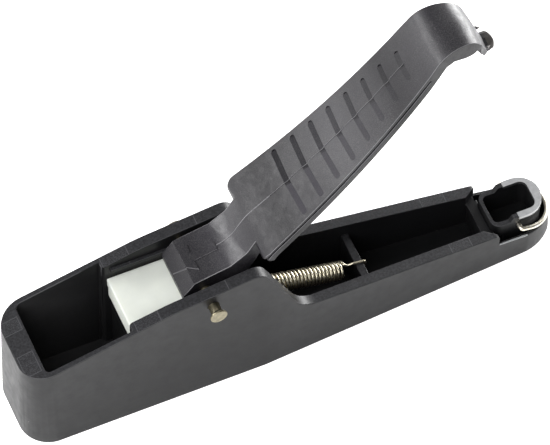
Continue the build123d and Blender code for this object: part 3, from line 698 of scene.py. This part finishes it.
def softened(node, width, rule):
    """A copy of a CAD node's mesh with the edges that rule picks rounded; width is in metres."""
    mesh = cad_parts[node].data.copy()
    mark_edges(mesh, rule)
    mesh.materials.clear()
    for name in ("custom_normal", "sharp_face"):
        if name in mesh.attributes:
            mesh.attributes.remove(mesh.attributes[name])
    for polygon in mesh.polygons:
        polygon.use_smooth = True
    holder = bpy.data.objects.new("holder", mesh)
    scene.collection.objects.link(holder)
    bevel = holder.modifiers.new("bevel", "BEVEL")
    bevel.limit_method = "WEIGHT"
    bevel.width = width
    bevel.segments = BEVEL_SEGMENTS
    bevel.use_clamp_overlap = False
    bevel.harden_normals = True
    depsgraph = bpy.context.evaluated_depsgraph_get()
    result = bpy.data.meshes.new_from_object(holder.evaluated_get(depsgraph))
    bpy.data.objects.remove(holder)
    return result


def long_edges(minimum):
    """A rule that picks the edges longer than a number of millimetres."""
    return lambda edge: edge.calc_length() > minimum * MM


def handle_outline(edge):
    """The long edges around the handle's top and the arm, but not the arrow, the grooves or the lip."""
    spot = (edge.verts[0].co + edge.verts[1].co) / 2 / MM
    by_arrow = abs(spot.y) < ARROW_EDGES_HALF_Y and spot.x < ARROW_EDGES_END_X
    on_arrow = by_arrow and spot.z > ARROW_EDGES_LOWEST_Z
    on_lip = spot.x > LIP_START_X and abs(spot.y) < LIP_END_Y
    if on_arrow or on_lip:
        return False
    walls = [abs(face.normal.z) < WALL_TILT for face in edge.link_faces]
    return any(walls) and edge.calc_length() > SHORTEST_OUTLINE * MM


def make_pieces():
    # a piece's name, CAD node, body and slot, how far its edges are rounded, and which edges
    jobs = [
        ("housing_shell", "housing", "body", "housing_plastic", 0.30, long_edges(0.25)),
        ("handle_lever", "lever", "handle", "handle_plastic", 0.30, handle_outline),
        ("slide_block", "pusher_block", "pusher", "white_nylon", 0.25, long_edges(0.6)),
        ("socket_cup", "nose_socket", "body", "housing_plastic", 0.15, long_edges(0.2)),
    ]
    for name, node, body, slot_name, width, rule in jobs:
        mesh = softened(node, width * MM, rule)
        mesh.name = name
        add_piece(name, mesh, body, slot_name, [node])
    for node in ("pivot_pin", "pivot_retainer", "drive_pin", "spring_bar"):
        dress(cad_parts[node], "pin_steel")
    dress(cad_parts["latch_bail"], "bail_wire")
    dress(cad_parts["striker_plate"], "plate_steel")


# ---------------------------------------------------------------- the spring and the parting line
def tube(points, radius, sides, name):
    """A round wire along a list of points in millimetres, with closed ends, as a mesh in metres."""
    rings = []
    normal = (points[1] - points[0]).normalized().orthogonal().normalized()
    bm = bmesh.new()
    for number, point in enumerate(points):
        before, after = points[max(number - 1, 0)], points[min(number + 1, len(points) - 1)]
        along = (after - before).normalized()
        normal = (normal - along * normal.dot(along)).normalized()
        across = along.cross(normal)
        ring = []
        for side in range(sides):
            angle = 2 * pi * side / sides
            spot = point + radius * (cos(angle) * normal + sin(angle) * across)
            ring.append(bm.verts.new(spot * MM))
        rings.append(ring)
    for low, high in zip(rings, rings[1:]):
        for side in range(sides):
            after = (side + 1) % sides
            bm.faces.new((low[side], low[after], high[after], high[side]))
    bm.faces.new(list(reversed(rings[0])))
    bm.faces.new(rings[-1])
    bmesh.ops.recalc_face_normals(bm, faces=bm.faces)
    mesh = bpy.data.meshes.new(name)
    bm.to_mesh(mesh)
    bm.free()
    for polygon in mesh.polygons:
        polygon.use_smooth = True
    return mesh


def eased(spots, parts):
    """A smooth curve on from the second spot, as so many points on the way to each next one."""
    points = []
    for number in range(1, len(spots) - 1):
        before, start, end = spots[number - 1], spots[number], spots[number + 1]
        after = spots[min(number + 2, len(spots) - 1)]
        bend = 2 * before - 5 * start + 4 * end - after
        swing = 3 * start - before - 3 * end + after
        for part in range(1, parts + 1):
            t = part / parts
            points.append(0.5 * (2 * start + (end - before) * t + bend * t * t + swing * t ** 3))
    return points


def coil_point(turns):
    """A point on the return spring's coil, after a number of turns from the handle's end."""
    _, up = coil_directions()
    centre = COIL_START.lerp(COIL_END, turns / COIL_TURNS)
    angle = COIL_PHASE - 2 * pi * turns
    return centre + COIL_MEAN_R * (cos(angle) * up + sin(angle) * Vector((0, 1, 0)))


def spring_route():
    """The spring wire's centre line: loop on the bar, lead, coil, and the hook over the rib."""
    along, up = coil_directions()
    side = Vector((0, 1, 0))
    points = []
    for step in range(LOOP_STEPS + 1):
        share = step / LOOP_STEPS
        angle = radians(LOOP_LAST + LOOP_SWEEP * (1 - share))
        out = (SPRING_GROOVE_R + WIRE_R) * (cos(angle) * along + sin(angle) * up)
        points.append(SPRING_BAR + out + LOOP_ASIDE * side * share)
    points.append(COIL_START - LEAD_BACK * along - LEAD_DOWN * up + LEAD_ASIDE * side)
    steps = int(COIL_STEPS_PER_TURN * COIL_TURNS)
    points += [coil_point(COIL_TURNS * step / steps) for step in range(steps + 1)]
    lead = [coil_point(COIL_TURNS - HOOK_LEAD_TURNS), coil_point(COIL_TURNS)]
    hook = [Vector((x, SPRING_Y - aside, z)) for x, aside, z in HOOK]
    return points + eased(lead + hook, HOOK_PARTS)


def make_spring():
    mesh = tube(spring_route(), WIRE_R, WIRE_SIDES, "return_coil")
    piece = bpy.data.objects.new("return_coil", mesh)
    scene.collection.objects.link(piece)
    dress(piece, "spring_steel")
    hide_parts("return_spring")
    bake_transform(piece)


def surface_of(node):
    """A CAD node's surface, for finding points on it."""
    bm = bmesh.new()
    bm.from_mesh(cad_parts[node].data)
    surface = BVHTree.FromBMesh(bm)
    bm.free()
    return surface


def top_point(surface, x):
    """The highest point of a surface over the middle line at x, in millimetres."""
    start = Vector((x, 0.0, RAY_START_Z)) * MM
    return surface.ray_cast(start, Vector((0, 0, -1)))[0] / MM


def make_parting_line():
    """The fine raised line along the handle's ridge, from the arrow's tail to the hook."""
    first, last = LINE_X
    surface = surface_of("lever")
    places = [first + (last - first) * step / LINE_STEPS for step in range(LINE_STEPS + 1)]
    lift = Vector((0, 0, LINE_R - LINE_SUNK))
    points = [top_point(surface, x) + lift for x in places]
    mesh = tube(points, LINE_R, LINE_SIDES, "ridge_line")
    add_piece("ridge_line", mesh, "handle", "handle_plastic")


scene.view_settings.view_transform = "Standard"
make_camera()
make_lights()
make_floor()
make_pieces()
make_spring()
make_parting_line()
